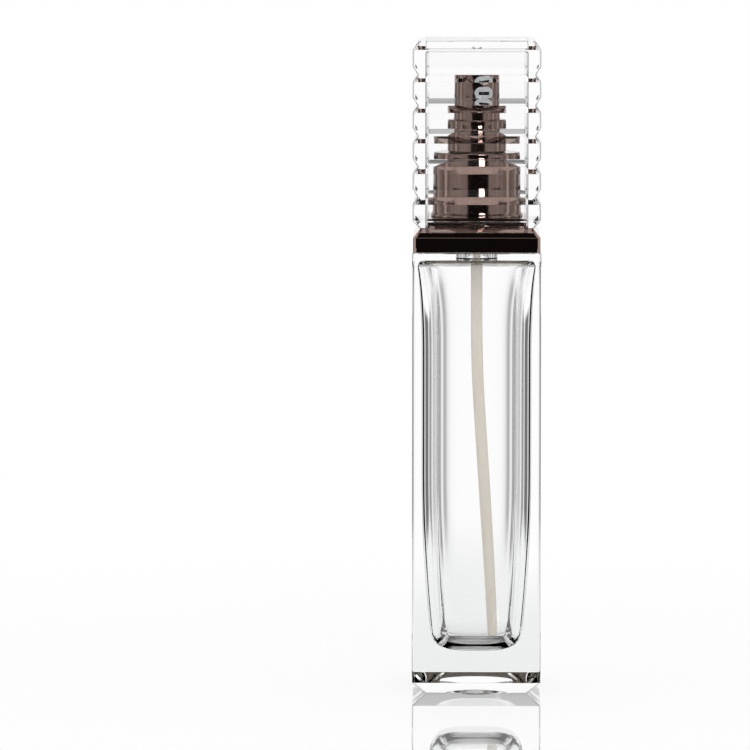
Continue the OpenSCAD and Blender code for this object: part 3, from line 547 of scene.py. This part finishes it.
# As on the glass, the end points that are left out only give the corners their direction
outline = soften([(CAP_CAVITY_HALF, CAP_Z), *outline, (FLAT, CAP_TOP_Z)], CAP_SOFT_R)[1:-1]
hollow = soften([(FLAT, CAP_CEILING_Z), (CAP_CAVITY_HALF, CAP_CEILING_Z),
                 (CAP_CAVITY_HALF, CAP_Z)], CAP_CEILING_R, 4)[1:]
loops = [square_loop(bm, half, CAP_EDGE_R, z) for half, z in outline]
loops += [round_loop(bm, r, CAP_TOP_Z - depth) for r, depth in MARK]
inner = [square_loop(bm, half, CAP_CAVITY_EDGE_R, z) for half, z in reversed(hollow)]
skin(bm, loops)
skin(bm, inner)
bmesh.ops.bridge_loops(bm, edges=loops[0] + inner[0])
bmesh.ops.contextual_create(bm, geom=loops[-1])
bmesh.ops.contextual_create(bm, geom=inner[-1])
piece("ribbed_cap", bm, "cap", acrylic, "cap", sharp=50)

# ---------------------------------------------------------------- stage

# From here on, lengths are in metres
TABLE_R, FADE_FROM, FADE_TO = 0.34, 0.12, 0.32
WHITE = (1, 1, 1, 1)
bm = bmesh.new()
bmesh.ops.create_circle(bm, cap_ends=True, segments=96, radius=TABLE_R)
mesh = bpy.data.meshes.new("table")
bm.to_mesh(mesh)
bm.free()
table = bpy.data.objects.new("table", mesh)
bpy.context.scene.collection.objects.link(table)

# Polished white table top: mirrors what stands on it, more so at a low angle, is painted a little
# grey as shade where it shows through glass, and fades into the white backdrop
top, tree, shader = material("white_table_top", Roughness=0.6)
ray = add(tree, "ShaderNodeLightPath")
# Painted shade: seen through glass, the top's colour is a little grey
tone = add(tree, "ShaderNodeMix", {0: ray.outputs["Is Transmission Ray"]},
           {6: shade("FDFDFD"), 7: shade("EFF1F0")}, data_type="RGBA")
tree.links.new(tone.outputs[2], shader.inputs["Base Color"])
where = add(tree, "ShaderNodeTexCoord")
far = add(tree, "ShaderNodeVectorMath", {0: where.outputs["Object"]}, operation="LENGTH")
fade = add(tree, "ShaderNodeMapRange", {"Value": far.outputs["Value"]},
           {"From Min": FADE_FROM, "From Max": FADE_TO}, interpolation_type="SMOOTHSTEP")
facing = add(tree, "ShaderNodeLayerWeight", values={"Blend": 0.5})
share = add(tree, "ShaderNodeMath", {0: facing.outputs["Facing"]}, {1: 0.95},
            operation="MULTIPLY")
mirror = add(tree, "ShaderNodeBsdfGlossy", {"Color": tone.outputs[2]}, {"Roughness": 0.02})
polished = add(tree, "ShaderNodeMixShader",
               {0: share.outputs[0], 1: shader.outputs[0], 2: mirror.outputs[0]})
white = add(tree, "ShaderNodeEmission", values={"Color": WHITE, "Strength": 1.0})
gone = add(tree, "ShaderNodeBsdfTransparent")
beyond = add(tree, "ShaderNodeMixShader",
             {0: ray.outputs["Is Transmission Ray"], 1: white.outputs[0], 2: gone.outputs[0]})
whole = add(tree, "ShaderNodeMixShader",
            {0: fade.outputs[0], 1: polished.outputs[0], 2: beyond.outputs[0]})
tree.links.new(whole.outputs[0], tree.nodes["Material Output"].inputs["Surface"])
table.data.materials.append(top)

# A white studio: bright backdrop, strip lights at both sides and dark gaps between them, which only
# mirrors and glass show. Angles are degrees round the object from the front (-Y) towards +X, or up.
world = bpy.data.worlds.new("studio")
bpy.context.scene.world = world
world.use_nodes = True
world.cycles.sampling_method = "NONE"
tree = world.node_tree
tree.nodes.clear()
where = add(tree, "ShaderNodeTexCoord")
split = add(tree, "ShaderNodeSeparateXYZ", {0: where.outputs["Generated"]})
back = add(tree, "ShaderNodeMath", {0: split.outputs["Y"]}, {1: -1.0}, operation="MULTIPLY")
angle = add(tree, "ShaderNodeMath", {0: split.outputs["X"], 1: back.outputs[0]},
            operation="ARCTAN2")


def greys(angle_socket, turn, stops):
    """A ramp of greys over an angle, from (degrees, grey) stops over so many degrees in all."""
    low, high = math.radians(-turn / 2), math.radians(turn / 2)
    part = add(tree, "ShaderNodeMapRange", {"Value": angle_socket},
               {"From Min": low, "From Max": high})
    node = add(tree, "ShaderNodeValToRGB", {"Fac": part.outputs[0]})
    ramp = node.color_ramp
    places = [(at / turn + 0.5, (tone, tone, tone, 1)) for at, tone in stops]
    ramp.elements[0].position, ramp.elements[0].color = places[0]
    ramp.elements[1].position, ramp.elements[1].color = places[-1]
    for at, tone in places[1:-1]:
        ramp.elements.new(at).color = tone
    return node.outputs["Color"]


def blend(kind, factor, first, second):
    """Mixes two colours; the factor and the colours are sockets or values."""
    given = {0: factor, 6: first, 7: second}
    links = {key: value for key, value in given.items() if isinstance(value, bpy.types.NodeSocket)}
    values = {key: value for key, value in given.items() if key not in links}
    node = add(tree, "ShaderNodeMix", links, values, data_type="RGBA", blend_type=kind)
    return node.outputs[2]


DARK = 0.012
round_angle = angle.outputs[0]
height = add(tree, "ShaderNodeMath", {0: split.outputs["Z"]}, operation="ARCSINE").outputs[0]

# What bare metal mirrors: strip lights at both sides of the camera and the backdrop
mirrored = greys(round_angle, 360, [
    (-180, 1), (-147, 1), (-143, DARK), (-108, DARK), (-104, 1), (-32, 1), (-28, DARK),
    (32, DARK), (36, 1), (110, 1), (114, DARK), (143, DARK), (147, 1), (180, 1)])

# Above the strips it mirrors white, but from 60 to 82 degrees up the strips and gaps once more
above = greys(height, 180, [
    (-90, 0), (11, 0), (13, 1), (58, 1), (60, 0), (82, 0), (84, 1), (90, 1)])
mirrored = blend("MIX", above, mirrored, WHITE)


def both_sides(half, front):
    """Stops for a whole turn: the same stops at both sides, and the front's own between them."""
    return [(-at, tone) for at, tone in half] + front + [(at, tone) for at, tone in reversed(half)]


# What shows through glass: the same strips, and a backdrop that is bright in the middle and darker
# towards the sides, with other steps from 4 degrees below the level
through = greys(round_angle, 360, both_sides([
    (180, 1), (171, 1), (160, 0.75), (145, 0.45), (132, 0.15), (126, 0.8), (112, 0.48),
    (96, 0.32), (93, 1), (87, 1), (84, 0.34), (60, 0.62)],
    [(-26, 0.46), (-22, DARK), (29, DARK), (33, 0.46)]))
lower = greys(round_angle, 360, both_sides([
    (180, 1), (175, 0.97), (170, 0.8), (165, 0.5), (160, 0.4), (154, 0.85), (146, 0.85), (140, 0.3),
    (128, 0.16), (96, 0.19), (93, 1), (87, 1), (84, 0.2), (74, 0.62)],
    [(-26, 0.62), (-22, 0.4), (29, 0.4), (33, 0.62)]))
below = greys(height, 180, [(-90, 1), (-4.3, 1), (-3.9, 0), (90, 0)])
through = blend("MIX", below, through, lower)

# Dimmer high up, and white below 14 degrees down and above 68 degrees up
dimmer = greys(height, 180, [(-90, 1), (22, 1), (27, 0.6), (38, 0.45), (48, 0.25), (90, 0.25)])
through = blend("MULTIPLY", 1.0, through, dimmer)
up_and_down = greys(height, 180, [(-90, 1), (-14, 1), (-11, 0), (60, 0), (68, 1), (90, 1)])
through = blend("MIX", up_and_down, through, WHITE)

# Mirrors and glass see the patterns; matt surfaces, and all that they light, see plain white
ray = add(tree, "ShaderNodeLightPath")
lit = blend("MIX", ray.outputs["Is Glossy Ray"], WHITE, mirrored)
lit = blend("MIX", ray.outputs["Is Transmission Ray"], lit, through)
soft = add(tree, "ShaderNodeMath", {0: ray.outputs["Diffuse Depth"]}, {1: 0.5},
           operation="GREATER_THAN")
lit = blend("MIX", soft.outputs[0], lit, WHITE)
light = add(tree, "ShaderNodeBackground", {"Color": lit}, {"Strength": 1.0})
add(tree, "ShaderNodeOutputWorld", {"Surface": light.outputs[0]})


def place_facing(obj, eye, target):
    """Puts a lamp or camera at a point, facing another point, and adds it to the scene."""
    turn = (eye - target).to_track_quat("Z", "Y").to_matrix().to_4x4()
    obj.matrix_world = Matrix.Translation(eye) @ turn
    bpy.context.scene.collection.objects.link(obj)


# A small soft box above the camera gives the plated edges their white highlights
lamp = bpy.data.lights.new("front_soft_box", "AREA")
lamp.shape, lamp.size, lamp.size_y, lamp.energy = "RECTANGLE", 0.24, 0.2, 1.5
aim = Vector((0, 0, 0.13))
place_facing(bpy.data.objects.new("front_soft_box", lamp),
             aim + Vector((0.215, -0.92, 0.36)), aim)

# ---------------------------------------------------------------- camera

# Above the cap, looking slightly down, and aimed left of the bottle, which stands in the frame's
# right half
camera = bpy.data.objects.new("camera", bpy.data.cameras.new("camera"))
camera.data.lens, camera.data.sensor_width = 298.9, 36
place_facing(camera, Vector((0, -1.6, 0.2268)), Vector((-0.0262, 0, 0.0808)))
bpy.context.scene.camera = camera
bpy.context.scene.view_settings.view_transform = "Standard"
